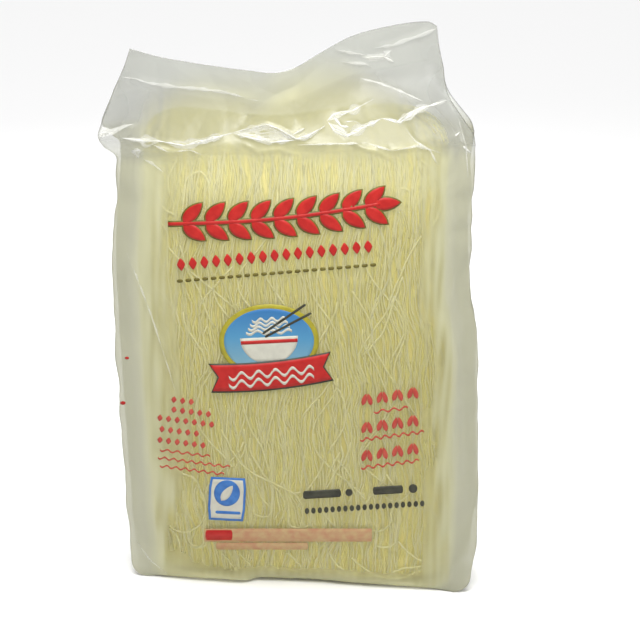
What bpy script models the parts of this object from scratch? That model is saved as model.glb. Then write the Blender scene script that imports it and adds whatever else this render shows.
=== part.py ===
"""A clear film pack of dried rice vermicelli, standing on its folded base.

The pack is one closed solid: a stiff flat brick of noodles with its film drawn round it. The film
stands off the brick at its two sides, where the tube is gusseted, and above the brick it closes
to a thin header, which waves and ends in a straight cut.

All sizes are in metres, +Z is up, the front faces -Y and the origin is under the middle of the pack.
"""
import bmesh
import bpy

COLLECTION = "rice_vermicelli_pack"

# The body, from the floor up to the shoulder where the film turns over the top end of the brick.
SHOULDER = 0.238
SHOULDER_TILT = 0.003
BASE_RADIUS = 0.008
LEFT_EDGE = ((0.0, -0.0815), (0.030, -0.0840), (0.080, -0.0875), (0.125, -0.0902), (0.170, -0.0922),
             (0.195, -0.0915), (0.212, -0.0898), (0.228, -0.0897), (0.234, -0.0900), (0.238, -0.0955))
RIGHT_EDGE = ((0.0, 0.0960), (0.022, 0.0993), (0.042, 0.1004), (0.090, 0.0980), (0.140, 0.0955),
              (0.160, 0.0913), (0.200, 0.0903), (0.238, 0.0906))
FRONT_DEPTH = ((0.0, 0.0275), (0.030, 0.0295), (0.090, 0.0315), (0.150, 0.0315), (0.205, 0.0295),
               (0.238, 0.0265))
BACK_DEPTH = ((0.0, 0.0270), (0.030, 0.0285), (0.100, 0.0300), (0.200, 0.0285), (0.238, 0.0260))
EDGE_DEPTH = 0.013
PANEL_ROUNDNESS = 3.4

# The front's foot, by places across: a straight fold with its right end forward, and the end of a
# folded flap at its left. The foot passes into the bulging panel below the heights given here.
FOOT_LINE = ((-1.0, 0.0110), (-0.65, 0.0170), (-0.30, 0.0195), (0.11, 0.0214), (0.35, 0.0241),
             (0.66, 0.0257), (1.0, 0.0258))
FOOT_FLAP = ((-1.0, 0.0040), (-0.50, 0.0045), (-0.333, 0.0045), (-0.25, 0.0), (1.0, 0.0))
FOOT_TOP = 0.045
FLAP_TOP = 0.020

# The header: v runs from 0 at the shoulder to 1 at the cut edge, across runs from -1 to 1.
SEAL_START = 0.62
HEADER_HALF_THICKNESS = 0.0007
HEADER_LEFT = ((0.0, -0.0955), (0.07, -0.0985), (0.14, -0.0995), (0.33, -0.0962), (0.60, -0.0912), (0.80, -0.0875), (1.0, -0.0847))
HEADER_RIGHT = ((0.0, 0.0906), (0.12, 0.0885), (0.38, 0.0768), (0.60, 0.0742), (0.80, 0.0718), (1.0, 0.0703))
CUT_HEIGHT = ((-1.0, 0.2798), (-0.80, 0.2778), (-0.16, 0.2773), (-0.02, 0.2781), (0.10, 0.2808),
              (0.42, 0.2899), (0.72, 0.2938), (0.94, 0.2944), (1.0, 0.2920))
SEAL_PLAN = ((-1.0, 0.0120), (-0.80, 0.0050), (-0.46, -0.0080), (-0.16, -0.0170), (-0.02, -0.0200),
             (0.10, -0.0180), (0.18, -0.0120), (0.42, 0.0060), (0.72, 0.0180), (1.0, 0.0260))

# The gussets: how far the middle of each side is tucked in between its two fold edges.
BODY_TUCK = ((0.0, 0.0), (0.030, 0.0050), (0.120, 0.0070), (0.238, 0.0080))
HEADER_TUCK = ((0.0, 0.0080), (0.30, 0.0120), (0.62, 0.0020), (1.0, 0.0))

# The mesh: faces across a panel, across a gusset and up the pack.
FACES_ACROSS = 24
FACES_DEEP = 6
BASE_ROWS = 3
BODY_ROWS = 20
HEADER_ROWS = 14

FILM_COLOUR = (0.84, 0.82, 0.62, 1.0)
FILM_ROUGHNESS = 0.28


def follow(stations, place):
    """The value at a place of the smooth curve through (place, value) stations."""
    if place <= stations[0][0]:
        return stations[0][1]
    if place >= stations[-1][0]:
        return stations[-1][1]
    last = len(stations) - 1
    i = max(k for k in range(last) if stations[k][0] <= place)

    def slope(k):
        low = max(k - 1, 0)
        high = min(k + 1, last)
        return (stations[high][1] - stations[low][1]) / (stations[high][0] - stations[low][0])

    span = stations[i + 1][0] - stations[i][0]
    t = (place - stations[i][0]) / span
    start = stations[i][1] * (1 + 2 * t) + slope(i) * span * t
    end = stations[i + 1][1] * (3 - 2 * t) + slope(i + 1) * span * (t - 1)
    return start * (1 - t) ** 2 + end * t ** 2


def fade(value, start, end):
    """0 before start, 1 after end, and smooth between."""
    t = min(max((value - start) / (end - start), 0.0), 1.0)
    return t * t * (3 - 2 * t)


def panel_depth(across, depth):
    """How far a bulging panel stands out at a place across it, from its middle to its fold edges."""
    return EDGE_DEPTH + (depth - EDGE_DEPTH) * (1 - abs(across) ** PANEL_ROUNDNESS)


def front_depth(across, height):
    """How far the front stands out at a place across it and a height: its panel, or its foot below."""
    panel = panel_depth(across, follow(FRONT_DEPTH, height))
    foot = 1 - fade(height, 0.0, FOOT_TOP)
    flap = 1 - fade(height, 0.0, FLAP_TOP)
    return panel + (follow(FOOT_LINE, across) - panel) * foot + follow(FOOT_FLAP, across) * flap


def body_point(across, through, height):
    """A point of the body, by its place across, through and up the pack."""
    shrink = 0.0
    if height < BASE_RADIUS:
        shrink = BASE_RADIUS - (BASE_RADIUS ** 2 - (BASE_RADIUS - height) ** 2) ** 0.5
    left = follow(LEFT_EDGE, height) + shrink
    right = follow(RIGHT_EDGE, height) - shrink
    tuck = follow(BODY_TUCK, height) * (1 - abs(through)) * abs(across) ** 8
    x = (left + right) / 2 + across * ((right - left) / 2 - tuck)
    inset = shrink * (1 - abs(across) ** 4)
    front = front_depth(across, height) - inset
    back = panel_depth(across, follow(BACK_DEPTH, height)) - inset
    y = -front + (front + back) * (through + 1) / 2
    z = height + SHOULDER_TILT * across * (height / SHOULDER) ** 3
    return x, y, z


def header_point(across, through, v):
    """A point of the header, which thins out from the shoulder to the seal and waves in plan."""
    left = follow(HEADER_LEFT, v)
    right = follow(HEADER_RIGHT, v)
    tuck = follow(HEADER_TUCK, v) * (1 - abs(through)) * abs(across) ** 8
    x = (left + right) / 2 + across * ((right - left) / 2 - tuck)
    closed = fade(v, 0.0, SEAL_START)
    wave = follow(SEAL_PLAN, across) * closed
    front = panel_depth(across, FRONT_DEPTH[-1][1]) * (1 - closed) + HEADER_HALF_THICKNESS * closed
    back = panel_depth(across, BACK_DEPTH[-1][1]) * (1 - closed) + HEADER_HALF_THICKNESS * closed
    y = wave - front + (front + back) * (through + 1) / 2
    low = SHOULDER + SHOULDER_TILT * across
    z = low + (follow(CUT_HEIGHT, across) - low) * v
    return x, y, z


def row_place(row):
    """The point function of a row of the mesh, and the height or header place that it takes."""
    if row <= BASE_ROWS:
        return body_point, BASE_RADIUS * (row / BASE_ROWS) ** 1.5
    if row <= BASE_ROWS + BODY_ROWS:
        left_over = 1 - (row - BASE_ROWS) / BODY_ROWS
        return body_point, BASE_RADIUS + (SHOULDER - BASE_RADIUS) * (1 - left_over ** 1.35)
    return header_point, (row - BASE_ROWS - BODY_ROWS) / HEADER_ROWS


def cut_edges(mesh, axis, faces):
    """Cut every edge that runs along an axis into a number of equal lengths."""
    others = [k for k in range(3) if k != axis]
    edges = [e for e in mesh.edges
             if all(abs(e.verts[0].co[k] - e.verts[1].co[k]) < 1e-6 for k in others)]
    bmesh.ops.subdivide_edges(mesh, edges=edges, cuts=faces - 1, use_grid_fill=True)


def pack_mesh():
    """A box of even faces, drawn out row by row to the form of the pack, with its origin under it."""
    rows = BASE_ROWS + BODY_ROWS + HEADER_ROWS
    mesh = bmesh.new()
    bmesh.ops.create_cube(mesh, size=2.0)
    for axis, faces in enumerate((FACES_ACROSS, FACES_DEEP, rows)):
        cut_edges(mesh, axis, faces)
    for vert in mesh.verts:
        across, through, up = vert.co
        point, place = row_place(round((up + 1) / 2 * rows))
        vert.co = point(across, through, place)
    middle = [(min(v.co[k] for v in mesh.verts) + max(v.co[k] for v in mesh.verts)) / 2 for k in range(2)]
    bmesh.ops.translate(mesh, verts=mesh.verts, vec=(-middle[0], -middle[1], 0.0))
    bmesh.ops.recalc_face_normals(mesh, faces=mesh.faces)
    for face in mesh.faces:
        face.smooth = True
    return mesh


def film_material():
    """Clear film with the yellow of the noodles showing through it."""
    material = bpy.data.materials.new("film_over_noodles")
    material.use_nodes = True
    shader = material.node_tree.nodes["Principled BSDF"]
    shader.inputs["Base Color"].default_value = FILM_COLOUR
    shader.inputs["Roughness"].default_value = FILM_ROUGHNESS
    shader.inputs["Metallic"].default_value = 0.0
    return material


def main():
    for old in list(bpy.data.objects):
        bpy.data.objects.remove(old, do_unlink=True)
    collection = bpy.data.collections.new(COLLECTION)
    bpy.context.scene.collection.children.link(collection)
    data = bpy.data.meshes.new("bag")
    mesh = pack_mesh()
    mesh.to_mesh(data)
    mesh.free()
    data.materials.append(film_material())
    collection.objects.link(bpy.data.objects.new("bag", data))


main()
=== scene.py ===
import bisect
import functools
import math
import random

import bmesh
import bpy
import numpy as np
from mathutils import Matrix, Vector, noise
from mathutils.bvhtree import BVHTree


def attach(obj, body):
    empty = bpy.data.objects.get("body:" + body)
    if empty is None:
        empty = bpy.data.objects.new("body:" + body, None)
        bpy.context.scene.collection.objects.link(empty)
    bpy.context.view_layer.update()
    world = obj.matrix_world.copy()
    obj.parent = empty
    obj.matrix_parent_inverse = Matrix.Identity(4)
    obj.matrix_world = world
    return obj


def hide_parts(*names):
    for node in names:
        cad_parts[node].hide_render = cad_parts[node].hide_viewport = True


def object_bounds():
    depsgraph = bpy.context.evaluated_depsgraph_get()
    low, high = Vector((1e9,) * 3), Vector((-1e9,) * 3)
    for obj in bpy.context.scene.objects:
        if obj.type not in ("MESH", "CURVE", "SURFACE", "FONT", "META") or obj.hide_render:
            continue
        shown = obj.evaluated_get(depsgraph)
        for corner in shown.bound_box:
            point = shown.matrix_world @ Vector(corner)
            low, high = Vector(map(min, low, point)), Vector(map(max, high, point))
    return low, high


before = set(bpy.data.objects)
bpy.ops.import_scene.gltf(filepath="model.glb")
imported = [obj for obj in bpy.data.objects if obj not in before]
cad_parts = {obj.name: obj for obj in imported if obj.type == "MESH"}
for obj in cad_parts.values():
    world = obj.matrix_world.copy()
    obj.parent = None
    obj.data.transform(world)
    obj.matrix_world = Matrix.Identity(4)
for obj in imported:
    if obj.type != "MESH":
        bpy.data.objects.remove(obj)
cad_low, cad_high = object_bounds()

# A clear film pack of dried rice vermicelli, standing. Sizes are in metres, the front faces -Y.

# The pack's outer form, with the solid's own stations, from the floor to the shoulder.
SHOULDER = 0.238
SHOULDER_TILT = 0.003
BASE_RADIUS = 0.008
LEFT_EDGE = ((0.0, -0.0815), (0.030, -0.0840), (0.080, -0.0875), (0.125, -0.0902), (0.170, -0.0922),
             (0.195, -0.0915), (0.212, -0.0898), (0.228, -0.0897), (0.234, -0.0900), (0.238, -0.0955))
RIGHT_EDGE = ((0.0, 0.0960), (0.022, 0.0993), (0.042, 0.1004), (0.090, 0.0980), (0.140, 0.0955),
              (0.160, 0.0913), (0.200, 0.0903), (0.238, 0.0906))
FRONT_DEPTH = ((0.0, 0.0275), (0.030, 0.0295), (0.090, 0.0315), (0.150, 0.0315), (0.205, 0.0295),
               (0.238, 0.0265))
BACK_DEPTH = ((0.0, 0.0270), (0.030, 0.0285), (0.100, 0.0300), (0.200, 0.0285), (0.238, 0.0260))
EDGE_DEPTH = 0.013
PANEL_ROUNDNESS = 3.4

# The front's foot, by places across: a straight fold with its right end forward, and the end of a
# folded flap at its left. The foot passes into the bulging panel below the heights given here.
FOOT_LINE = ((-1.0, 0.0110), (-0.65, 0.0170), (-0.30, 0.0195), (0.11, 0.0214), (0.35, 0.0241),
             (0.66, 0.0257), (1.0, 0.0258))
FOOT_FLAP = ((-1.0, 0.0040), (-0.50, 0.0045), (-0.333, 0.0045), (-0.25, 0.0), (1.0, 0.0))
FOOT_TOP = 0.045
FLAP_TOP = 0.020

# The header above the shoulder: v runs from 0 at the shoulder to 1 at the cut edge.
SEAL_START = 0.62
HEADER_HALF_THICKNESS = 0.0004
HEADER_LEFT = ((0.0, -0.0955), (0.07, -0.0985), (0.14, -0.0995), (0.33, -0.0962), (0.60, -0.0912),
               (0.80, -0.0875), (1.0, -0.0847))
HEADER_RIGHT = ((0.0, 0.0906), (0.12, 0.0885), (0.38, 0.0768), (0.60, 0.0742), (0.80, 0.0718),
                (1.0, 0.0703))
CUT_HEIGHT = ((-1.0, 0.2798), (-0.80, 0.2778), (-0.16, 0.2773), (-0.02, 0.2781), (0.10, 0.2808),
              (0.42, 0.2899), (0.72, 0.2938), (0.94, 0.2944), (1.0, 0.2920))
SEAL_PLAN = ((-1.0, 0.0120), (-0.80, 0.0050), (-0.46, -0.0080), (-0.16, -0.0170), (-0.02, -0.0200),
             (0.10, -0.0180), (0.18, -0.0120), (0.42, 0.0060), (0.72, 0.0180), (1.0, 0.0260))
BODY_TUCK = ((0.0, 0.0), (0.030, 0.0050), (0.120, 0.0070), (0.238, 0.0080))
HEADER_TUCK = ((0.0, 0.0080), (0.30, 0.0120), (0.62, 0.0020), (1.0, 0.0))

# The stations' own lowest x and y, which the solid was moved from to have its middle over the origin.
OWN_LOW_X, OWN_LOW_Y = -0.09947, -0.03175
SHIFT = Vector((cad_low.x - OWN_LOW_X, cad_low.y - OWN_LOW_Y, 0.0))

# The film's mesh: faces across a panel, across a gusset, and rows up the pack.
FILM_ACROSS = 200
FILM_DEEP = 14
FILM_BASE_ROWS = 6
FILM_BODY_ROWS = 100
FILM_HEADER_ROWS = 76

# The film's own relief: crumples, ripples and puckered edges on the body, and the crumples and waves of
# the header's sheet.
SKIN_CRUMPLE, SKIN_RIPPLE, EDGE_PUCKER = 0.00055, 0.00010, 0.0009
SHEET_CRUMPLE, SHEET_WAVE = 0.00075, 0.0012

# The brick of noodles inside the film: how far it stays inside it, its ends, the rounding of its end
# edges, how square it is in plan, and how it narrows above the shoulder.
BRICK_SIDE_GAP = 0.0135
BRICK_CLEARANCE = 0.0018
BRICK_LOW = 0.0022
BRICK_HIGH = 0.2540
BRICK_EDGE = 0.008
BRICK_SQUARENESS = 3.0
BRICK_HALF_WIDTH = 0.078
BRICK_HALF_DEPTH = 0.029
BRICK_WIDTH_TOP = 0.222
BRICK_TAPER = 0.45
TAPER_HEIGHT = 0.0265
CORE_AROUND, CORE_UP = 260, 84
CORE_GROOVE = 0.0005

# The strands: their sizes, how deep each layer lies, and the layers with their strands' spacing.
STRAND_RADIUS = 0.00050
LOOSE_RADIUS = 0.00054
STRAND_STEP = 0.0047
LAYER_DEPTH = 0.00042
CORE_DEPTH = 2.4 * LAYER_DEPTH
STRAND_END = 0.016
TOP_LAYER = ((0, 0.00145),)
LOW_LAYERS = ((1, 0.00140), (2, 0.00130))

# How far round the brick its front and its sides reach from the middle of the front.
FRONT_REACH = 0.080
SIDE_REACH = 0.116

# The noodles' colours: deep, middle and pale.
TOP_NOODLES = (0.64, 0.60, 0.29), (0.70, 0.66, 0.38), (0.74, 0.71, 0.47)
# Painted light: the under layers are brighter and more yellow than the top layer, to offset the shade
# between the strands.
BRIGHTENED_UNDER_NOODLES = (0.76, 0.68, 0.19), (0.82, 0.74, 0.27), (0.86, 0.80, 0.36)
LOOSE_NOODLES = (0.67, 0.64, 0.35), (0.72, 0.69, 0.41), (0.76, 0.74, 0.49)

# The inks, each with its colour and a deeper shade of it.
INKS = {
    "red": ((0.44, 0.018, 0.014), (0.37, 0.012, 0.010)),
    "soft_red": ((0.46, 0.075, 0.050), (0.40, 0.045, 0.035)),
    "pale_red": ((0.46, 0.32, 0.16), (0.43, 0.22, 0.12)),
    "olive": ((0.14, 0.12, 0.02), (0.10, 0.08, 0.015)),
    "gold": ((0.35, 0.31, 0.028), (0.29, 0.25, 0.022)),
    "pale": ((0.52, 0.51, 0.43), (0.47, 0.46, 0.39)),
    "dark": ((0.05, 0.05, 0.035), (0.03, 0.03, 0.02)),
    "blue": ((0.05, 0.17, 0.45), (0.03, 0.12, 0.36)),
}
INK_GLOSS = {"Roughness": 0.45, "Specular IOR Level": 0.25}
INK_LIFT = 0.00008
INK_STEP = 0.00004
INK_THICKNESS = 0.00002
INWARD_STEP = 0.004

# The fin seam on the back: its middle, half width, foot, height and thickness, and its stand-off.
FIN_X, FIN_HALF_WIDTH, FIN_LOW, FIN_HEIGHT, FIN_THICKNESS = 0.004, 0.0055, 0.006, 0.2640, 0.0001
FIN_LIFT, FIN_CURL = 0.0005, 0.0009

# The camera that took the photograph, for a picture of 640 by 626 pixels.
PICTURE_WIDTH, PICTURE_HEIGHT = 640, 626
FOCAL_PIXELS = 2709.0
SENSOR_WIDTH = 36.0
CAMERA_DISTANCE = 1.40
CAMERA_ELEVATION = math.radians(20)
CAMERA_ROLL = math.radians(-1.4)
CAMERA_TARGET = Vector((0.0145, 0.0, 0.1450)) + SHIFT


@functools.lru_cache(maxsize=None)
def follow(stations, place):
    """The value at a place of the smooth curve through (place, value) stations."""
    if place <= stations[0][0]:
        return stations[0][1]
    if place >= stations[-1][0]:
        return stations[-1][1]
    last = len(stations) - 1
    i = bisect.bisect_right([s[0] for s in stations], place) - 1

    def slope(k):
        low = max(k - 1, 0)
        high = min(k + 1, last)
        return (stations[high][1] - stations[low][1]) / (stations[high][0] - stations[low][0])

    span = stations[i + 1][0] - stations[i][0]
    t = (place - stations[i][0]) / span
    start = stations[i][1] * (1 + 2 * t) + slope(i) * span * t
    end = stations[i + 1][1] * (3 - 2 * t) + slope(i + 1) * span * (t - 1)
    return start * (1 - t) ** 2 + end * t ** 2


def fade(value, start, end):
    """0 before start, 1 after end, and smooth between."""
    t = min(max((value - start) / (end - start), 0.0), 1.0)
    return t * t * (3 - 2 * t)


def placed(name, data):
    """A new object in the scene."""
    made = bpy.data.objects.new(name, data)
    bpy.context.scene.collection.objects.link(made)
    return made


def ripple(x, y, z):
    """A smooth noise from -1 to 1, with about one wave for each unit."""
    return noise.noise(Vector((x, y, z)))


# The camera and its picture.

def camera_axes():
    """The directions of the camera's view, and of the picture's right and up."""
    ahead = Vector((0.0, math.cos(CAMERA_ELEVATION), -math.sin(CAMERA_ELEVATION)))
    level = Vector((1.0, 0.0, 0.0))
    above = level.cross(ahead)
    right = math.cos(CAMERA_ROLL) * level - math.sin(CAMERA_ROLL) * above
    up = math.sin(CAMERA_ROLL) * level + math.cos(CAMERA_ROLL) * above
    return ahead, right, up


AHEAD, RIGHT, UP = camera_axes()
CAMERA_PLACE = CAMERA_TARGET - AHEAD * CAMERA_DISTANCE


def picture_ray(px, py):
    """The direction from the camera through a pixel of the picture."""
    across = (px - PICTURE_WIDTH / 2) / FOCAL_PIXELS
    upward = (PICTURE_HEIGHT / 2 - py) / FOCAL_PIXELS
    return (AHEAD + RIGHT * across + UP * upward).normalized()


def picture_pixels(points):
    """The pixels at which an array of points is seen."""
    seen = points - np.array(CAMERA_PLACE)
    depth = seen @ np.array(AHEAD)
    px = PICTURE_WIDTH / 2 + FOCAL_PIXELS * (seen @ np.array(RIGHT)) / depth
    py = PICTURE_HEIGHT / 2 - FOCAL_PIXELS * (seen @ np.array(UP)) / depth
    return px, py


def make_camera():
    """The camera, with the picture's own frame."""
    data = bpy.data.cameras.new("camera")
    data.sensor_width = SENSOR_WIDTH
    data.lens = FOCAL_PIXELS * SENSOR_WIDTH / PICTURE_WIDTH
    data.clip_end = 50.0
    camera = placed("camera", data)
    turn = Matrix((RIGHT, UP, -AHEAD)).transposed()
    camera.matrix_world = Matrix.Translation(CAMERA_PLACE) @ turn.to_4x4()
    bpy.context.scene.camera = camera


# The film's form.

def panel_depth(across, depth):
    """How far a bulging panel stands out at a place across it, from its middle to its fold edges."""
    return EDGE_DEPTH + (depth - EDGE_DEPTH) * (1 - abs(across) ** PANEL_ROUNDNESS)


def front_depth(across, height):
    """How far the front stands out at a place across it and a height: its panel, or its foot below."""
    panel = panel_depth(across, follow(FRONT_DEPTH, height))
    foot = 1 - fade(height, 0.0, FOOT_TOP)
    flap = 1 - fade(height, 0.0, FLAP_TOP)
    return panel + (follow(FOOT_LINE, across) - panel) * foot + follow(FOOT_FLAP, across) * flap


def body_point(across, through, height):
    """A point of the body, by its place across, through and up the pack."""
    shrink = 0.0
    if height < BASE_RADIUS:
        shrink = BASE_RADIUS - (BASE_RADIUS ** 2 - (BASE_RADIUS - height) ** 2) ** 0.5
    left = follow(LEFT_EDGE, height) + shrink
    right = follow(RIGHT_EDGE, height) - shrink
    tuck = follow(BODY_TUCK, height) * (1 - abs(through)) * abs(across) ** 8
    x = (left + right) / 2 + across * ((right - left) / 2 - tuck)
    inset = shrink * (1 - abs(across) ** 4)
    front = front_depth(across, height) - inset
    back = panel_depth(across, follow(BACK_DEPTH, height)) - inset
    y = -front + (front + back) * (through + 1) / 2
    z = height + SHOULDER_TILT * across * (height / SHOULDER) ** 3
    return x, y, z


def header_point(across, through, v):
    """A point of the header, which thins out from the shoulder to the seal and waves in plan."""
    left = follow(HEADER_LEFT, v)
    right = follow(HEADER_RIGHT, v)
    tuck = follow(HEADER_TUCK, v) * (1 - abs(through)) * abs(across) ** 8
    x = (left + right) / 2 + across * ((right - left) / 2 - tuck)
    closed = fade(v, 0.0, SEAL_START)
    wave = follow(SEAL_PLAN, across) * closed
    front, back = (panel_depth(across, depths[-1][1]) * (1 - closed) + HEADER_HALF_THICKNESS * closed
                   for depths in (FRONT_DEPTH, BACK_DEPTH))
    y = wave - front + (front + back) * (through + 1) / 2
    low = SHOULDER + SHOULDER_TILT * across
    z = low + (follow(CUT_HEIGHT, across) - low) * v
    return x, y, z


def row_place(row):
    """The point function of a row of the film's mesh, and the height or header place it takes."""
    if row <= FILM_BASE_ROWS:
        return body_point, BASE_RADIUS * (row / FILM_BASE_ROWS) ** 1.5
    if row <= FILM_BASE_ROWS + FILM_BODY_ROWS:
        left_over = 1 - (row - FILM_BASE_ROWS) / FILM_BODY_ROWS
        return body_point, BASE_RADIUS + (SHOULDER - BASE_RADIUS) * (1 - left_over ** 1.35)
    return header_point, (row - FILM_BASE_ROWS - FILM_BODY_ROWS) / FILM_HEADER_ROWS


def cut_edges(mesh, axis, faces):
    """Cut every edge that runs along an axis into a number of equal lengths."""
    others = [k for k in range(3) if k != axis]
    edges = [e for e in mesh.edges
             if all(abs(e.verts[0].co[k] - e.verts[1].co[k]) < 1e-4 for k in others)]
    bmesh.ops.subdivide_edges(mesh, edges=edges, cuts=faces - 1, use_grid_fill=True)


# How much the film hides, and its colour: over the noodles, at the sides beyond the brick and over
# its edges, along the foot, in the side gussets and in the header, and over the top of the noodles,
# where the header catches their yellow.
CLEAR_VEIL, CLEAR_TONE = 0.41, (0.47, 0.43, 0.175)
# Painted light: the film's tone over the upper noodles, paler, as if lit more from above.
LIT_TOP_TONE = (0.66, 0.63, 0.35)
SIDE_VEIL, SIDE_TONE = 0.80, (0.421, 0.416, 0.296)
# Over the brick's edges the film's pale yellow tone is partly the noodles seen through it and partly
# painted light over the shade of those rounded edges.
EDGE_TONE = (0.534, 0.525, 0.328)
# Along the foot the film is milky, and its pale tone is also painted light over the shade between the
# noodles and the floor.
FOOT_VEIL, FOOT_TONE = 0.72, (0.62, 0.60, 0.34)
GUSSET_VEIL = 0.40
HEADER_VEIL, HEADER_TONE = 0.48, (0.296, 0.304, 0.266)
HAZE_VEIL, HAZE_TONE = 0.78, (0.40, 0.385, 0.222)

# Places across the pack between which the film passes from one look to another: milky at the left, from
# nearer the middle higher up, at the left of the foot and at the right; free of the brick; folded.
LEFT_MILK, LEFT_LOW_MILK, LEFT_FULL = 0.58, 0.68, 0.85
CORNER_MILK = 0.52, 0.78
RIGHT_MILK = 0.68, 0.86
BEYOND_BRICK = 0.82, 0.90
FOLD_EDGE = 0.78, 0.97

# Heights between which it does so: the left's milk, the foot's left corner, the veil's thinning, the
# painted brightenings towards the floor that lighten the shade there, the foot's fold and flat, the
# darkening at its right, the looser film at the top, the end of the gussets, and the painted light that
# makes the front's and the back's top paler.
LEFT_RISE, CORNER_FALL, THIN_FALL = (0.030, 0.085), (0.021, 0.006), (0.042, 0.018)
PALER_FALL, PALEST_FALL = (0.10, 0.03), (0.034, 0.012)
FOOT_RISE, FOOT_FLAT = (0.003, 0.011), (0.001, 0.014)
DARKER_FALL, LOOSE_RISE, GUSSET_RISE = (0.060, 0.010), (0.205, 0.24), (0.20, 0.235)
FRONT_LIT_TOP, BACK_LIT_TOP = (0.235, 0.190), (0.252, 0.234)

# Where the header's look starts down the picture, and how far its haze fades past its limit.
HEADER_FOOT = 142, 168
HAZE_UP, HAZE_DOWN = 28, 26

# The upper limit of that haze, as places across and down the picture.
HAZE_TOP = ((90, 148), (125, 128), (150, 104), (194, 90), (240, 88), (262, 90), (289, 78), (339, 76),
            (376, 92), (426, 122), (450, 140), (480, 150))

# A fold of the header that hangs free of the noodles, and so shows grey across the haze.
GREY_BAND = ((297, 70), (280, 88), (262, 104), (244, 119), (230, 130))

# Creases of the film, each a line of pixels, with its half width in pixels, its height in metres and
# the width in pixels of the painted highlight along it.
CREASES = (
    (((122, 138), (144, 141), (158, 141), (184, 145.5), (204, 140.5), (232, 133)), 5, 0.0007, 2.0),
    (((232, 133), (248, 128.5), (267, 124.5), (278, 128.5), (297, 140)), 4, 0.0007, 1.3),
    (((232, 133), (251, 138), (270, 142.5), (296, 140)), 4, 0.0005, 1.2),
    (((280, 130), (297, 139), (307, 136.5), (316, 131), (325, 126)), 4, 0.0007, 1.9),
    (((292, 135), (305, 128)), 3, 0.0004, 1.2),
    (((327, 121), (334, 114), (344, 113), (352, 111), (360, 106.5), (374, 99)), 4, 0.0007, 2.0),
    (((328, 122), (334, 130), (347, 136), (360, 129), (374, 122.5), (382, 118.5)), 4, 0.0007, 2.2),
    (((334, 117), (341, 126), (349, 127)), 3, 0.0004, 1.6),
    (((345, 122), (354, 121), (361, 124)), 3, 0.0004, 1.2),
    (((382, 118.5), (391, 120), (400, 122.5), (409, 116), (414, 110.5), (434, 104.5), (447, 100)),
     4, 0.0006, 1.8),
    (((396, 123), (402, 118), (412, 111)), 3, 0.0004, 1.2),
    (((123, 77), (137, 79), (148, 83), (176, 87), (201, 89), (224, 92), (258, 101)), 7, 0.0007, 1.0),
    (((437, 28), (422, 35), (403, 41), (394, 45), (374, 48)), 6, 0.0008, 1.1),
    (((391, 50), (385, 56), (374, 58), (362, 57)), 4, 0.0006, 1.8),
    (((384, 57), (394, 62)), 3, 0.0004, 1.4),
    (((334, 48), (338, 50), (352, 53), (366, 55)), 4, 0.0005, 0.8),
    (((339, 61), (352, 63), (366, 64), (374, 68)), 4, 0.0006, 0.9),
    (((359, 78), (379, 83), (400, 91), (422, 101)), 5, 0.0005, 0.6),
    (((102, 127), (110, 131), (122, 127), (134, 124)), 5, 0.0007, 1.0),
    (((99, 137), (104, 133), (111, 134)), 3, 0.0006, 1.8),
    (((300, 84), (280, 93), (263, 102), (249, 114), (240, 126)), 12, -0.0010, 0.0),
    (((297, 145), (330, 144), (367, 143)), 4, 0.0003, 0.8),
    (((127, 253), (138, 280), (152, 317), (170, 373), (175, 390)), 5, 0.0005, 0.5),
    (((447, 100), (458, 118), (466, 146), (468, 180)), 4, 0.0005, 0.3),
    (((455, 136), (460, 132)), 3, 0.0004, 1.6),
    (((463, 146), (471, 153)), 3, 0.0004, 1.6),
    (((131, 151), (140, 150), (137, 158)), 3, 0.0005, 1.5),
    (((141, 158), (152, 163), (163, 172)), 4, 0.0004, 0.6),
    (((452, 330), (458, 360), (455, 400)), 6, 0.0005, 0.0),
    (((447, 545), (452, 565), (447, 583)), 5, 0.0006, 0.0),
    (((432, 560), (440, 575), (446, 588)), 5, 0.0005, 0.0),
    (((136, 540), (150, 560), (172, 577)), 5, 0.0006, 0.3),
    (((367, 143), (392, 151), (418, 146), (441, 153)), 5, 0.0006, 0.6),
    (((345, 136), (360, 147), (380, 153), (398, 162)), 5, 0.0006, 0.0),
    (((405, 128), (415, 141), (430, 150), (438, 166)), 5, 0.0006, 0.5),
    (((150, 143), (168, 152), (190, 150), (205, 156)), 5, 0.0005, 0.4),
    (((240, 142), (258, 152), (280, 150), (300, 156)), 5, 0.0005, 0.0),
)

# The painted highlights along creases: their name, whether they follow the sharp ones, how much wider
# than the crease's own line they are, their rows of faces, their layer over the film and their veil.
SHARP_WIDTH = 1.2
CREASE_HIGHLIGHT_LAYERS = (("crease_lines", True, 1.0, 1, 1, 0.46),
                 ("crease_faint_lines", False, 2.6, 2, 1, 0.20),
                 ("crease_glows", True, 3.2, 2, 0, 0.15))

# Painted highlights on facets between creases, each by its four corners in pixels.
HIGHLIGHT_FACETS = (
    ((233, 133), (266, 125), (297, 139), (266, 141)),
    ((400, 122), (408, 114), (420, 111), (411, 120)),
    ((98, 137), (102, 126), (113, 130), (110, 136)),
    ((184, 145), (206, 140), (231, 133), (206, 144)),
    ((131, 152), (136, 148), (142, 150), (138, 158)),
    ((327, 121), (336, 112), (353, 109), (338, 119)),
    ((329, 123), (336, 131), (350, 135), (341, 126)),
    ((350, 131), (366, 123), (382, 118), (366, 128)),
    ((401, 119), (411, 111), (430, 105), (414, 116)),
    ((297, 140), (308, 134), (325, 126), (311, 138)),
    ((120, 138), (145, 138), (159, 141), (142, 143)),
    ((103, 134), (112, 130), (126, 127), (113, 135)),
)


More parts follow.
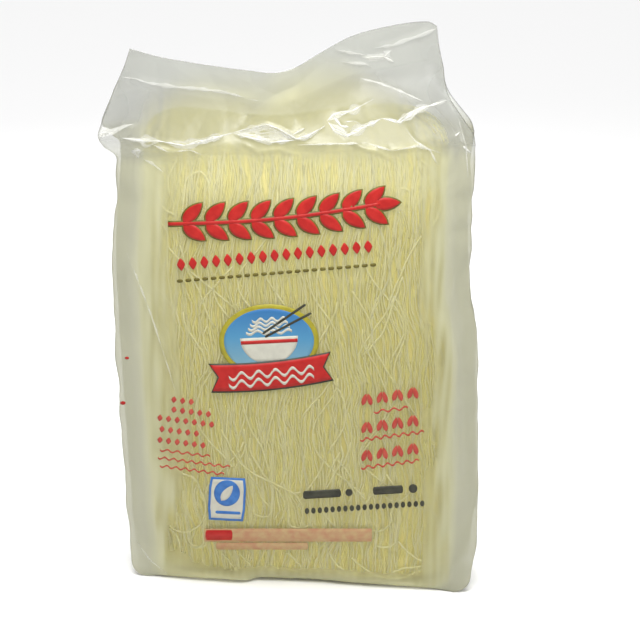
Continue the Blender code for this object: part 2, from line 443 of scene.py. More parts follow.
def line_distance(px, py, line):
    """The distance of each pixel to a line of points, and how far along it the nearest point is."""
    best = np.full(px.shape, 1e9)
    place = np.zeros(px.shape)
    lengths = [math.dist(a, b) for a, b in zip(line, line[1:])]
    done = 0.0
    for (ax, ay), (bx, by), length in zip(line, line[1:], lengths):
        t = np.clip(((px - ax) * (bx - ax) + (py - ay) * (by - ay)) / length ** 2, 0, 1)
        away = np.hypot(px - ax - t * (bx - ax), py - ay - t * (by - ay))
        nearer = away < best
        best = np.where(nearer, away, best)
        place = np.where(nearer, (done + t * length) / sum(lengths), place)
        done += length
    return best, place


def crumple(point, size, seed):
    """Flat facets with sharp edges between them, as in creased film; from about -1 to 1."""
    distances = noise.voronoi(point / size + Vector((seed, seed * 1.7, seed * 0.6)))[0]
    return 2.2 * (distances[1] - distances[0]) - 0.9


def painted_counter_shade(normal):
    """Painted light and shade: how much paler or darker the header's tone is painted at a normal, by
    how little or much the lamps light it.
    """
    towards_key = 0.73 * normal.z - 0.68 * normal.y
    lit = 0.34 + 0.67 * max(normal.z, 0.0) + 0.70 * max(towards_key, 0.0)
    return (1.08 / lit) ** 0.65


def film_relief(vert, across, through, flat, shut, ridge):
    """How far the film moves at a vertex for its crumples, ripples and creases."""
    edge = fade(abs(across), *FOLD_EDGE)
    loose = 0.25 + 0.75 * max(edge, fade(vert.co.z, *LOOSE_RISE))
    skin = SKIN_CRUMPLE * loose * crumple(vert.co, 0.021, 3.0)
    skin += SKIN_RIPPLE * ripple(vert.co.x * 420, vert.co.y * 420, vert.co.z * 55)
    skin += EDGE_PUCKER * edge * ripple(across * 2, through * 2, vert.co.z * 60)
    sheet = SHEET_CRUMPLE * crumple(flat, 0.030, 8.0)
    sheet += SHEET_WAVE * noise.noise(flat * 28 + Vector((4, 4, 4)))
    outward = fade(vert.co.z, *FOOT_FLAT) * (1 - shut) * (skin + ridge)
    return vert.normal * outward + Vector((0, -1, 0)) * shut * (sheet + ridge)


def film_look(vert, across, through, flat, shut, px, py, band):
    """The veil and the tone of the film at a vertex."""
    height = vert.co.z
    milk = 0.5 + 0.5 * noise.noise(flat * 22 + Vector((9, 1, 3)))
    streaky = ripple(vert.co.x * 330, 3.0, height * 30)
    drift = 0.05 * noise.noise(flat * 45)
    wander = drift + 0.09 * streaky
    left_start = LEFT_LOW_MILK + (LEFT_MILK - LEFT_LOW_MILK) * fade(height, *LEFT_RISE)
    corner = 0.65 * fade(wander - across, *CORNER_MILK) * fade(height, *CORNER_FALL)
    side = max(fade(wander - across, left_start, LEFT_FULL), fade(wander + across, *RIGHT_MILK), corner)
    cover = CLEAR_VEIL + 0.03 * milk - 0.065 * fade(height, *THIN_FALL)
    cover += (SIDE_VEIL - cover) * side
    beyond = fade(abs(across) + 0.2 * wander, *BEYOND_BRICK)
    # Painted light: the tone passes to a paler one at the top of the front and the back.
    top = FRONT_LIT_TOP if through < 0.3 else BACK_LIT_TOP
    clear = Vector(LIT_TOP_TONE).lerp(Vector(CLEAR_TONE), fade(height, *top))
    # Painted light: the tone is made paler towards the floor, to lighten the shade there.
    clear *= 1 + 0.08 * fade(height, *PALER_FALL) + 0.20 * fade(height, *PALEST_FALL)
    # Over the brick's edges the pale tone is partly painted light over their shade.
    colour = clear.lerp(Vector(EDGE_TONE).lerp(Vector(SIDE_TONE), beyond), side)
    # Along the foot: a milkier veil, and a pale tone that is painted light over the shade at the floor.
    low = (1 - side) * (1 - fade(height + 0.02 * wander, *FOOT_RISE))
    cover += (FOOT_VEIL - cover) * low
    colour = colour.lerp(Vector(FOOT_TONE), low)
    if across > 0:
        colour *= 1 - 0.10 * side * fade(height, *DARKER_FALL)
    if through < 0:
        sag = 9 * ripple(px / 34, 7.0, 2.0)
        header = 1 - fade(py + 110 * wander + sag, *HEADER_FOOT)
        limit = follow(HAZE_TOP, round(float(px), 1))
        haze = fade(py + 100 * drift, limit - HAZE_UP, limit + HAZE_DOWN) * (1 - 0.8 * side)
        haze *= 1 - 0.14 * max(1 - band / 14, 0.0)
    else:
        header = fade(shut, 0.0, 0.3)
        haze = 0.0
    header_cover = HEADER_VEIL + 0.06 * milk + (HAZE_VEIL - HEADER_VEIL) * haze
    cover += (header_cover - cover) * header
    header_colour = Vector(HEADER_TONE).lerp(Vector(HAZE_TONE), haze)
    # Painted light and shade: the header's tone is evened out against the lamps' shading at each
    # normal.
    header_colour *= (1 - 0.08 * fade(abs(across), *FOLD_EDGE)) * painted_counter_shade(vert.normal)
    colour = colour.lerp(header_colour, header)
    colour *= 1 + 0.03 * side * (1 - header) * (1 - beyond) * streaky + 0.03 * (milk - 0.5)
    if abs(across) > 0.99 and abs(through) < 0.9:
        cover = GUSSET_VEIL * (1 - 0.9 * fade(height, *GUSSET_RISE))
    return cover, (*colour, 1.0)


def film_mesh():
    """The whole bag as one closed skin, with its creases, and its veil and tone at each point."""
    rows = FILM_BASE_ROWS + FILM_BODY_ROWS + FILM_HEADER_ROWS
    mesh = bmesh.new()
    bmesh.ops.create_cube(mesh, size=2.0)
    for axis, faces in enumerate((FILM_ACROSS, FILM_DEEP, rows)):
        cut_edges(mesh, axis, faces)
    mesh.verts.ensure_lookup_table()
    grid = [tuple(v.co) for v in mesh.verts]
    closed = np.zeros(len(grid))
    for vert, (across, through, up) in zip(mesh.verts, grid):
        point, place = row_place(round((up + 1) / 2 * rows))
        vert.co = Vector(point(round(across, 6), through, place)) + SHIFT
        if point is header_point:
            closed[vert.index] = min(place / SEAL_START, 1.0)
    bmesh.ops.recalc_face_normals(mesh, faces=mesh.faces)
    mesh.normal_update()

    px, py = picture_pixels(np.array([v.co for v in mesh.verts]))
    front = np.array([g[1] < 0.3 for g in grid]) | (closed > 0.9)
    ridge = np.zeros(len(grid))
    for line, half_width, height, _ in CREASES:
        away, place = line_distance(px, py, line)
        taper = np.clip(6 * np.minimum(place, 1 - place), 0.1, 1)
        ridge += height * taper * np.clip(1 - away / half_width, 0, 1) ** 1.4 * front

    band, _ = line_distance(px, py, GREY_BAND)
    veil = mesh.verts.layers.float.new("veil")
    tone = mesh.verts.layers.float_color.new("tone")
    for vert, (across, through, _) in zip(mesh.verts, grid):
        i = vert.index
        flat = Vector((vert.co.x, 0.0, vert.co.z))
        vert.co += film_relief(vert, across, through, flat, closed[i], ridge[i])
        look = film_look(vert, across, through, flat, closed[i], px[i], py[i], band[i])
        vert[veil], vert[tone] = look
    return mesh


# The brick of noodles.

def ring_table():
    """Places round the brick's outline, from the middle of its front towards the right."""
    turns = np.linspace(-math.pi / 2, 1.5 * math.pi, 2001)
    power = 2 / BRICK_SQUARENESS
    x = np.sign(np.cos(turns)) * np.abs(np.cos(turns)) ** power
    y = np.sign(np.sin(turns)) * np.abs(np.sin(turns)) ** power
    steps = np.hypot(np.diff(x) * BRICK_HALF_WIDTH, np.diff(y) * BRICK_HALF_DEPTH)
    return np.concatenate(([0.0], np.cumsum(steps))), x, y


RING_PLACES, RING_X, RING_Y = ring_table()
RING_LENGTH = float(RING_PLACES[-1])


def header_place(x, height):
    """The place across the header at an x and a height above the shoulder, and how closed it is."""
    across = 0.0
    for _ in range(3):
        low = SHOULDER + SHOULDER_TILT * across
        v = round(max(height - low, 0.0) / (follow(CUT_HEIGHT, across) - low), 3)
        left = follow(HEADER_LEFT, v)
        right = follow(HEADER_RIGHT, v)
        across = round((2 * x - left - right) / (right - left), 3)
    return across, fade(v, 0.0, SEAL_START)


def brick_outline(place, height):
    """The outer point of the brick at a place round it, and the point of its middle line behind it."""
    place = place % RING_LENGTH
    shape_x = float(np.interp(place, RING_PLACES, RING_X))
    shape_y = float(np.interp(place, RING_PLACES, RING_Y))
    level = round(min(max(height, 0.0), BRICK_WIDTH_TOP), 4)
    left = follow(LEFT_EDGE, level)
    right = follow(RIGHT_EDGE, level)
    middle = (left + right) / 2
    above = max(height - SHOULDER, 0.0) / TAPER_HEIGHT
    half_width = ((right - left) / 2 - BRICK_SIDE_GAP) * (1 - BRICK_TAPER * above ** 2)
    reach = half_width - BRICK_HALF_DEPTH
    outer_x = middle + shape_x * half_width
    inner_x = middle + min(max(shape_x * half_width, -reach), reach)
    across, closed = header_place(outer_x, height) if above > 0 else (0.0, 0.0)
    inner_across, inner_closed = header_place(inner_x, height) if above > 0 else (0.0, 0.0)
    depths = FRONT_DEPTH if shape_y < 0 else BACK_DEPTH
    half_depth = follow(depths, round(min(max(height, 0.0), SHOULDER), 4)) * (1 - closed)
    if shape_y < 0:
        foot = follow(FOOT_LINE, round((outer_x - middle) / ((right - left) / 2), 3))
        half_depth += (foot - half_depth) * (1 - fade(height, 0.0, FOOT_TOP))
    half_depth -= BRICK_CLEARANCE * (1 + closed)
    outer = Vector((outer_x, follow(SEAL_PLAN, across) * closed + shape_y * half_depth, 0.0))
    inner = Vector((inner_x, follow(SEAL_PLAN, inner_across) * inner_closed, 0.0))
    return outer, inner


BRICK_MIDDLE = (BRICK_LOW + BRICK_HIGH) / 2
BRICK_STRAIGHT = (BRICK_HIGH - BRICK_LOW) / 2 - BRICK_EDGE
EDGE_ARC = BRICK_EDGE * math.pi / 2


def brick_point(place, along, depth):
    """A point at a place round the brick, along its height from its middle, and under its surface."""
    side = 1.0 if along > 0 else -1.0
    run = abs(along)
    if run <= BRICK_STRAIGHT:
        turn = 0.0
        inward = 0.0
        rise = run
    elif run <= BRICK_STRAIGHT + EDGE_ARC:
        turn = (run - BRICK_STRAIGHT) / BRICK_EDGE
        inward = BRICK_EDGE * (1 - math.cos(turn))
        rise = BRICK_STRAIGHT + BRICK_EDGE * math.sin(turn)
    else:
        turn = math.pi / 2
        inward = BRICK_EDGE + run - BRICK_STRAIGHT - EDGE_ARC
        rise = BRICK_STRAIGHT + BRICK_EDGE
    inward += depth * math.cos(turn)
    height = BRICK_MIDDLE + side * (rise - depth * math.sin(turn))
    outer, inner = brick_outline(place, height)
    reach = (inner - outer).length
    point = outer + (inner - outer) * min(inward / reach, 0.97)
    point.z = height
    return point + SHIFT


def core_mesh():
    """The brick's core under its strands: a ball of many faces laid out to the brick, with grooves."""
    mesh = bmesh.new()
    bmesh.ops.create_uvsphere(mesh, u_segments=CORE_AROUND, v_segments=CORE_UP, radius=1.0)
    longest = BRICK_STRAIGHT + EDGE_ARC + BRICK_HALF_DEPTH - BRICK_EDGE
    for vert in mesh.verts:
        turn = math.atan2(vert.co.x, -vert.co.y) / (2 * math.pi)
        lean = math.asin(max(-1.0, min(1.0, vert.co.z))) / (math.pi / 2)
        along = lean * longest
        place = turn * RING_LENGTH
        groove = CORE_GROOVE * ripple(place * 700, along * 30, 2.0)
        vert.co = brick_point(place, along, CORE_DEPTH - groove)
    bmesh.ops.remove_doubles(mesh, verts=mesh.verts, dist=1e-7)
    bmesh.ops.recalc_face_normals(mesh, faces=mesh.faces)
    return mesh


def strand_line(start, low, high, layer, luck):
    """The way of one long strand up the brick, waving among its neighbours."""
    count = max(int((high - low) / STRAND_STEP), 4)
    own = luck.uniform(0, 500)
    slant = luck.gauss(0, 0.022)
    points = []
    for k in range(count + 1):
        along = low + (high - low) * k / count
        place = start + slant * along
        place += 0.0050 * ripple(start * 30, along * 14, 5.0 + layer)
        place += 0.0034 * ripple(start * 110, along * 45, 31.0 + 3 * layer)
        place += 0.0022 * ripple(own, along * 88, 71.0)
        depth = LAYER_DEPTH * layer + 0.0004 * ripple(own, along * 36, 11.0)
        points.append(brick_point(place, along, max(depth, -0.0003)))
    return points


def field_strands(first, last, layers, seed):
    """Layers of strands over a stretch of the brick's outline."""
    luck = random.Random(seed)
    lines = []
    for layer, pitch in layers:
        count = int((last - first) / pitch)
        for k in range(count):
            start = first + (k + luck.uniform(0.1, 0.9)) * (last - first) / count
            reach = BRICK_STRAIGHT + EDGE_ARC
            low = -reach - luck.uniform(0.2, 0.92) * STRAND_END
            high = reach + luck.uniform(0.2, 0.92) * STRAND_END
            lines.append(strand_line(start, low, high, layer, luck))
    return lines


def loop_line(place, along, radius, legs, turn_side, luck):
    """A strand that comes along the brick, turns back in a loop and leaves beside itself."""
    own = luck.uniform(0, 500)
    points = []
    steps = 12
    leg_steps = max(int(legs / STRAND_STEP), 3)
    shape = [(-radius, legs * (1 - k / leg_steps)) for k in range(leg_steps)]
    shape += [(-radius * math.cos(math.pi * k / steps), -radius * math.sin(math.pi * k / steps))
              for k in range(steps + 1)]
    shape += [(radius, legs * k / leg_steps) for k in range(1, leg_steps + 1)]
    for k, (aside, ahead) in enumerate(shape):
        wobble = 0.0022 * ripple(own, k * 0.16, 9.0)
        depth = 0.0004 * ripple(own, k * 0.3, 3.0) - 0.0001
        spread = 1 + 0.5 * max(ahead, 0) / 0.05
        points.append(brick_point(place + aside * spread + wobble, along + turn_side * ahead, depth))
    return points


def stray_line(place, along, run, drift, luck):
    """A loose strand that lies slanting over the others."""
    own = luck.uniform(0, 500)
    count = max(int(run / STRAND_STEP), 5)
    points = []
    for k in range(count + 1):
        t = k / count
        bend = 0.35 * run * ripple(own, t * 1.6, 5.0)
        points.append(brick_point(place + drift * t + bend, along + run * t, -0.00035))
    return points


def loops_and_strays(centre, seed):
    """Loops near both ends of a face, and loose strands over its middle."""
    luck = random.Random(seed)
    lines = []
    for k in range(16):
        low_end = k % 4 != 0
        place = centre + luck.uniform(-0.074, 0.074)
        along = luck.uniform(0.060, 0.108) * (-1 if low_end else 1)
        radius = luck.uniform(0.0030, 0.0075)
        legs = luck.uniform(0.012, 0.045)
        lines.append(loop_line(place, along, radius, legs, 1 if low_end else -1, luck))
    for k in range(46):
        place = centre + luck.uniform(-0.072, 0.066)
        along = luck.uniform(-0.112, 0.030)
        run = luck.uniform(0.025, 0.070)
        lines.append(stray_line(place, along, run, luck.gauss(0, 0.015), luck))
    return lines


# Loose strands that show in the picture on top of the others, each a line of pixels.
LOOSE_STRANDS = (
    ((222, 428), (236, 455), (252, 471), (276, 483), (296, 494), (303, 509), (300, 528)),
    ((243, 402), (251, 428), (262, 447), (270, 470)),
    ((150, 470), (142, 488), (144, 509), (157, 521), (170, 512), (170, 494), (160, 480)),
    ((150, 566), (143, 546), (150, 528), (166, 524), (179, 535), (182, 554), (176, 568)),
    ((164, 505), (172, 524), (187, 530), (203, 520), (206, 500), (198, 484)),
    ((168, 452), (180, 470), (196, 478), (205, 500)),
    ((223, 550), (230, 560), (238, 568), (241, 577)),
    ((240, 552), (249, 561), (255, 570), (254, 579)),
    ((288, 551), (297, 560), (301, 568), (296, 578)),
    ((330, 552), (336, 562), (345, 570), (344, 580)),
    ((352, 556), (366, 568), (384, 575), (404, 574), (424, 566)),
    ((378, 584), (388, 574), (402, 567), (419, 565), (433, 558)),
    ((398, 540), (410, 553), (424, 560), (438, 556)),
    ((424, 500), (434, 516), (436, 535), (428, 552)),
    ((166, 168), (160, 186), (164, 206), (176, 214)),
    ((178, 160), (170, 176), (171, 196)),
    ((428, 168), (437, 184), (438, 206), (431, 226)),
    ((420, 160), (432, 170), (441, 188)),
    ((352, 290), (368, 318), (376, 350), (395, 384)),
    ((402, 276), (391, 306), (383, 330), (366, 352)),
)


def smooth_line(line, steps):
    """More points along a line of pixels, on a smooth curve through them."""
    ends = (line[0], *line, line[-1])
    points = []
    for a, b, c, d in zip(ends, ends[1:], ends[2:], ends[3:]):
        for k in range(steps):
            t = k / steps
            points.append(tuple(
                0.5 * (2 * b[i] + (c[i] - a[i]) * t + (2 * a[i] - 5 * b[i] + 4 * c[i] - d[i]) * t * t
                       + (3 * b[i] - a[i] - 3 * c[i] + d[i]) * t ** 3) for i in range(2)))
    return points + [line[-1]]


def seen_strand(line, core_tree):
    """A strand that lies on the front of the brick along a line of pixels."""
    points = []
    for px, py in smooth_line(line, 4):
        place, normal, _, _ = core_tree.ray_cast(CAMERA_PLACE, picture_ray(px, py))
        if place is not None:
            points.append(place + normal * (CORE_DEPTH + 1.3 * STRAND_RADIUS))
    return points


def strand_object(name, lines, radius, sides, material):
    """One mesh of round strands along a number of lines."""
    curve = bpy.data.curves.new(name, "CURVE")
    curve.dimensions = "3D"
    curve.bevel_depth = radius
    curve.bevel_resolution = sides
    curve.use_fill_caps = True
    for points in lines:
        spline = curve.splines.new("POLY")
        spline.points.add(len(points) - 1)
        spline.points.foreach_set("co", [c for p in points for c in (*p, 1.0)])
    guide = placed(name + "_guide", curve)
    bpy.context.view_layer.update()
    shaped = guide.evaluated_get(bpy.context.evaluated_depsgraph_get())
    data = bpy.data.meshes.new_from_object(shaped)
    bpy.data.objects.remove(guide)
    mesh = bmesh.new()
    mesh.from_mesh(data)
    bmesh.ops.remove_doubles(mesh, verts=mesh.verts, dist=1e-6)
    bpy.data.meshes.remove(data)
    return finish_piece(name, mesh, material)


# Materials.

def with_values(node, values):
    """A node with these values set on its sockets."""
    for socket, value in values.items():
        node.inputs[socket].default_value = value
    return node


def new_material(name, values):
    """A material with these values on its shader, and its nodes and links."""
    material = bpy.data.materials.new(name)
    material.use_nodes = True
    nodes = material.node_tree.nodes
    with_values(nodes["Principled BSDF"], values)
    return material, nodes, material.node_tree.links


def noise_node(nodes, links, stretch, scale, detail):
    """A noise in object coordinates that are stretched first."""
    coordinates = nodes.new("ShaderNodeTexCoord")
    mapping = with_values(nodes.new("ShaderNodeMapping"), {"Scale": stretch})
    node = with_values(nodes.new("ShaderNodeTexNoise"), {"Scale": scale, "Detail": detail})
    links.new(coordinates.outputs["Object"], mapping.inputs["Vector"])
    links.new(mapping.outputs["Vector"], node.inputs["Vector"])
    return node.outputs["Fac"]


def coloured(nodes, links, value, stops):
    """Colour the shader by a value, through a ramp of (place, colour) stops."""
    node = nodes.new("ShaderNodeValToRGB")
    while len(node.color_ramp.elements) < len(stops):
        node.color_ramp.elements.new(0.5)
    for element, (place, colour) in zip(node.color_ramp.elements, stops):
        element.position = place
        element.color = (*colour, 1.0)
    links.new(value, node.inputs["Fac"])
    links.new(node.outputs["Color"], nodes["Principled BSDF"].inputs["Base Color"])


def bumped(nodes, links, height, strength, distance):
    """Give the shader a bump by a height."""
    node = with_values(nodes.new("ShaderNodeBump"), {"Strength": strength, "Distance": distance})
    links.new(height, node.inputs["Height"])
    links.new(node.outputs["Normal"], nodes["Principled BSDF"].inputs["Normal"])


def mottled_material(name, values, mottle, stops, fine=None):
    """A material coloured by a noise, and with a fine bump where its scale and strength are given."""
    material, nodes, links = new_material(name, values)
    coloured(nodes, links, noise_node(nodes, links, *mottle), stops)
    if fine:
        scale, detail, strength = fine
        bumped(nodes, links, noise_node(nodes, links, (1, 1, 1), scale, detail), strength, 0.0001)
    return material


def noodle_material(name, deep, middle, pale):
    """Dry rice noodle: a little paler or deeper from strand to strand."""
    values = {"Roughness": 0.55, "Specular IOR Level": 0.3, "Subsurface Weight": 0.6,
              "Subsurface Radius": (1.0, 0.9, 0.5), "Subsurface Scale": 0.0010}
    stops = ((0.30, deep), (0.52, middle), (0.72, pale))
    return mottled_material(name, values, ((420, 420, 16), 1.0, 2.0), stops, (1800.0, 3.0, 0.15))


def core_material():
    """The yellow between and under the strands: the noodles' own colour, painted brighter and more
    saturated as painted light against the shade between them.
    """
    stops = ((0.30, (0.82, 0.71, 0.20)), (0.70, (0.88, 0.79, 0.31)))
    return mottled_material("noodle_core", {"Roughness": 0.6}, ((500, 500, 22), 1.0, 3.0), stops)


@functools.lru_cache(maxsize=None)
def film_material():
    """Thin milky film: clearer where it lies on the noodles, by its mesh's own veil and tone."""
    values = {"Roughness": 0.32, "Coat Weight": 0.15, "Coat Roughness": 0.20}
    material, nodes, links = new_material("clear_film", values)
    for layer, output, socket in (("tone", "Color", "Base Color"), ("veil", "Fac", "Alpha")):
        node = nodes.new("ShaderNodeAttribute")
        node.attribute_name = layer
        links.new(node.outputs[output], nodes["Principled BSDF"].inputs[socket])
    bumped(nodes, links, noise_node(nodes, links, (1, 1, 0.6), 160.0, 4.0), 0.25, 0.0006)
    return material


def highlight_material(name, cover):
    """Painted highlight: pale, half see-through white where the film's folds catch the light."""
    stops = ((0.3, (0.84, 0.84, 0.76)), (0.7, (0.96, 0.96, 0.92)))
    return mottled_material(name, {"Alpha": cover, "Roughness": 0.2}, ((1, 1, 1), 300.0, 3.0), stops)


@functools.lru_cache(maxsize=None)
def ink_material(name):
    """Printing ink on film, a little uneven and glossy."""
    colour, deeper = INKS[name]
    stops = ((0.35, deeper), (0.65, colour))
    return mottled_material(name + "_ink", INK_GLOSS, ((1, 1, 1), 260.0, 4.0), stops, (900.0, 2.0, 0.1))


def badge_material(low, high):
    """The badge's blue field, deep at its top and pale at its foot."""
    material, nodes, links = new_material("badge_blue", INK_GLOSS)
    coordinates = nodes.new("ShaderNodeTexCoord")
    split = nodes.new("ShaderNodeSeparateXYZ")
    links.new(coordinates.outputs["Object"], split.inputs["Vector"])
    span = with_values(nodes.new("ShaderNodeMapRange"), {"From Min": low, "From Max": high})
    links.new(split.outputs["Z"], span.inputs["Value"])
    stops = ((0.0, (0.20, 0.34, 0.38)), (0.55, (0.07, 0.24, 0.41)), (1.0, (0.03, 0.14, 0.34)))
    coloured(nodes, links, span.outputs["Result"], stops)
    return material


def finish_piece(name, mesh, material):
    """Make a mesh an object that rides on the pack and a material."""
    data = bpy.data.meshes.new(name)
    mesh.to_mesh(data)
    mesh.free()
    data.shade_smooth()
    data.materials.append(material)
    piece = placed(name, data)
    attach(piece, "root")
    return piece


# The print: simple shapes in the picture's pixels, laid on the film.

def on_film(px, py, lift):
    """The point of the film that shows at a pixel, or nearest inside its outline, lifted off it."""
    place = None
    while place is None:
        place, normal, _, _ = FILM_TREE.ray_cast(CAMERA_PLACE, picture_ray(px, py))
        px += (PICTURE_WIDTH / 2 - px) * INWARD_STEP
        py += (PICTURE_HEIGHT / 2 - py) * INWARD_STEP
    if normal.dot(AHEAD) > 0:
        normal = -normal
    return place + normal * lift


def patch(mesh, shape, columns, rows, lift):
    """A grid of faces on the film, its edge to edge places turned to pixels by a shape function."""
    made = bmesh.ops.create_grid(mesh, x_segments=columns, y_segments=rows, size=1.0)["verts"]
    for vert in made:
        vert.co = on_film(*shape(vert.co.x, vert.co.y), lift)


def turned(x, y, centre, tilt):
    """Turn a point by a tilt, rising to the right, and put it round a centre."""
    return (centre[0] + x * math.cos(tilt) + y * math.sin(tilt),
            centre[1] - x * math.sin(tilt) + y * math.cos(tilt))


def bar(centre, length, height, tilt):
    """A bar with cut corners."""
    def shape(u, v):
        along = math.copysign(1 - (1 - abs(u)) ** 1.6, u)
        squeeze = 0.5 if abs(u) > 0.999 else 1.0
        return turned(along * length / 2, v * squeeze * height / 2, centre, tilt)
    return shape


def lozenge(centre, width, height, tilt):
    """A small diamond with slightly rounded corners."""
    def shape(u, v):
        x = (u - v) / 2
        y = (u + v) / 2
        soft = 1 - 0.12 * max(abs(x), abs(y)) ** 6
        return turned(x * soft * width / 2, y * soft * height / 2, centre, tilt)
    return shape


def leaf(centre, length, width, tilt):
    """A grain or leaf, round at its foot and pointed at its tip."""
    def shape(u, v):
        t = (u + 1) / 2
        wide = math.sin(math.pi * t ** 0.8) ** 0.75 * width / 2
        return turned(u * length / 2, v * max(wide, 0.05), centre, tilt)
    return shape


def disc(centre, half_width, half_height):
    """A round or oval field."""
    def shape(u, v):
        return (centre[0] + u * math.sqrt(1 - v * v / 2) * half_width,
                centre[1] + v * math.sqrt(1 - u * u / 2) * half_height)
    return shape


def wave(start, end, height, thickness, waves):
    """A wavy line from one pixel to another."""
    length = math.dist(start, end)
    tilt = math.atan2(start[1] - end[1], end[0] - start[0])
    middle = ((start[0] + end[0]) / 2, (start[1] + end[1]) / 2)

    def shape(u, v):
        swing = height * math.sin(math.pi * waves * (u + 1))
        return turned(u * length / 2, swing + v * thickness / 2, middle, tilt)
    return shape


def line_point(line, t):
    """The pixel at a fraction of a line's length, and the line's direction there."""
    lengths = [math.dist(a, b) for a, b in zip(line, line[1:])]
    left_over = t * sum(lengths)
    for (ax, ay), (bx, by), length in zip(line, line[1:], lengths):
        if left_over <= length or (bx, by) == line[-1]:
            break
        left_over -= length
    part = left_over / length
    return ax + (bx - ax) * part, ay + (by - ay) * part, (bx - ax) / length, (by - ay) / length


def streak(line, width):
    """A thin line along a crease, which swells, thins and runs out at its ends."""
    def shape(u, v):
        t = (u + 1) / 2
        x, y, along_x, along_y = line_point(line, t)
        wide = 0.42 * width * min(1.0, 5 * t + 0.08, 5 * (1 - t) + 0.08)
        wide *= max(1 + 2.2 * ripple(x * 0.11, y * 0.11, width), 0.15)
        return x - along_y * v * wide, y + along_x * v * wide
    return shape


def facet(corners):
    """A flat of film between four corners."""
    def shape(u, v):
        s = (u + 1) / 2
        t = (v + 1) / 2
        return tuple((a * (1 - s) + b * s) * (1 - t) + (d * (1 - s) + c * s) * t
                     for a, b, c, d in zip(*corners))
    return shape


def print_piece(name, shapes, level, material):
    """Lay (shape, columns, rows) patches of one colour on the film, as one thin piece."""
    mesh = bmesh.new()
    for shape, columns, rows in shapes:
        patch(mesh, shape, columns, rows, INK_LIFT + INK_STEP * level)
    bmesh.ops.recalc_face_normals(mesh, faces=mesh.faces)
    bmesh.ops.solidify(mesh, geom=mesh.faces[:], thickness=INK_THICKNESS)
    bmesh.ops.recalc_face_normals(mesh, faces=mesh.faces)
    return finish_piece(name, mesh, material)


def make_crease_highlights():
    """The painted highlights where the film is folded sharply: lines, glows and facets."""
    for name, sharp, spread, rows, level, cover in CREASE_HIGHLIGHT_LAYERS:
        lines = [(streak(line, spread * width), max(int(math.dist(line[0], line[-1]) / 1.6), 6), rows)
                 for line, _, _, width in CREASES if width > 0 and (width >= SHARP_WIDTH) == sharp]
        print_piece(name, lines, level, highlight_material(name[:-1], cover))
    flats = [(facet(corners), 12, 5) for corners in HIGHLIGHT_FACETS]
    print_piece("facet_highlights", flats, -1, highlight_material("facet_highlight", 0.20))


def inked(name, level, ink, shapes):
    """A printed piece in one ink."""
    print_piece(name, shapes, level, ink_material(ink))


def sprig(length, width, stalk_width):
    """A large ear of rice: fat grains in pairs along a stalk, and one at its tip."""
    def stem(t):
        return 168 + 212 * t, 224 - 20 * t + 5 * math.sin(math.pi * t)

    def stalk(u, v):
        x, y = stem((u + 1) / 2)
        return x, y + v * stalk_width / 2
    tilt = math.atan2(20, 212)
    lean = math.radians(40)
    pairs, reach = 9, 15.5
    shapes = []
    for k in range(pairs):
        x, y = stem(0.05 + 0.86 * k / (pairs - 1))
        for angle in (tilt - lean, tilt + lean):
            centre = (x + reach * math.cos(angle) + 3, y - reach * math.sin(angle))
            shapes.append((leaf(centre, length, width, angle), 8, 4))
    tip_x, tip_y = stem(0.985)
    shapes.append((leaf((tip_x + 10, tip_y - 1), length, width, tilt), 8, 4))
    return shapes + [(stalk, 60, 2)]


def print_top():
    """An ear of rice with an olive edge, and a row of diamonds and a row of dashes under it."""
    inked("title_edge", 0, "olive", sprig(30.5, 15.5, 6.0))
    inked("title_sprig", 1, "red", sprig(27, 12.5, 3.4))
    inked("title_diamonds", 0, "red",
          [(lozenge((181 + 11.7 * k, 264.5 - 1.12 * k), 9.5, 14.5, 0.1), 4, 4) for k in range(17)])
    inked("title_dashes", 0, "olive",
          [(bar((180 + 8.4 * k, 281 - 0.70 * k), 5.8, 3.4, 0.09), 3, 1) for k in range(24)])


def print_badge():
    """An oval badge with a bowl of noodles and two sticks, and a ribbon with waves under it."""
    centre = (269, 341)
    rim = (269, 337)
    field_height = 32.5

    def bowl(u, v):
        t = (v + 1) / 2
        wide = 29 * math.sqrt(max(1 - 0.80 * t * t, 0))
        return turned(u * wide, 24 * t, rim, 0.05)

    def bowl_band(u, v):
        return turned(u * 28.4, 4.5 + v * 1.8, rim, 0.05)

    def ribbon(grow):
        def shape(u, v):
            notch = 8 * max(abs(u) - 0.86, 0) / 0.14 * (1 - abs(v))
            x = u * (60 + grow) - math.copysign(notch, u)
            return turned(x, v * (13 + grow) + 3.5 * (1 - u * u), (271, 372), 0.10)
        return shape
    low, high = (on_film(269, 341 + down, INK_LIFT).z for down in (field_height, -field_height))
    inked("badge_rim", 0, "gold", [(disc(centre, 50, 37), 24, 20)])
    print_piece("badge_field", [(disc(centre, 45, field_height), 22, 18)], 1,
                badge_material(low, high))
    inked("badge_bowl", 2, "pale", [(bowl, 16, 8)])
    inked("badge_bowl_band", 3, "red", [(bowl_band, 16, 1)])
    inked("badge_noodles", 2, "pale",
          [(wave((246 + 2 * k, 333 - 4 * k), (292 - 2 * k, 331 - 4 * k), 1.8, 2.8, 3), 30, 1)
           for k in range(4)])
    inked("badge_sticks", 3, "dark",
          [(bar((284, 319), 52, 2.4, 0.60), 12, 1), (bar((288, 325), 52, 2.4, 0.48), 12, 1)])
    inked("ribbon_edge", 4, "dark", [(ribbon(1.6), 40, 6)])
    inked("ribbon", 5, "red", [(ribbon(0.0), 40, 6)])
    inked("ribbon_waves", 6, "pale",
          [(wave((229, y), (314, y - 8), 3.4, 3.0, 5), 60, 1) for y in (377, 385)])


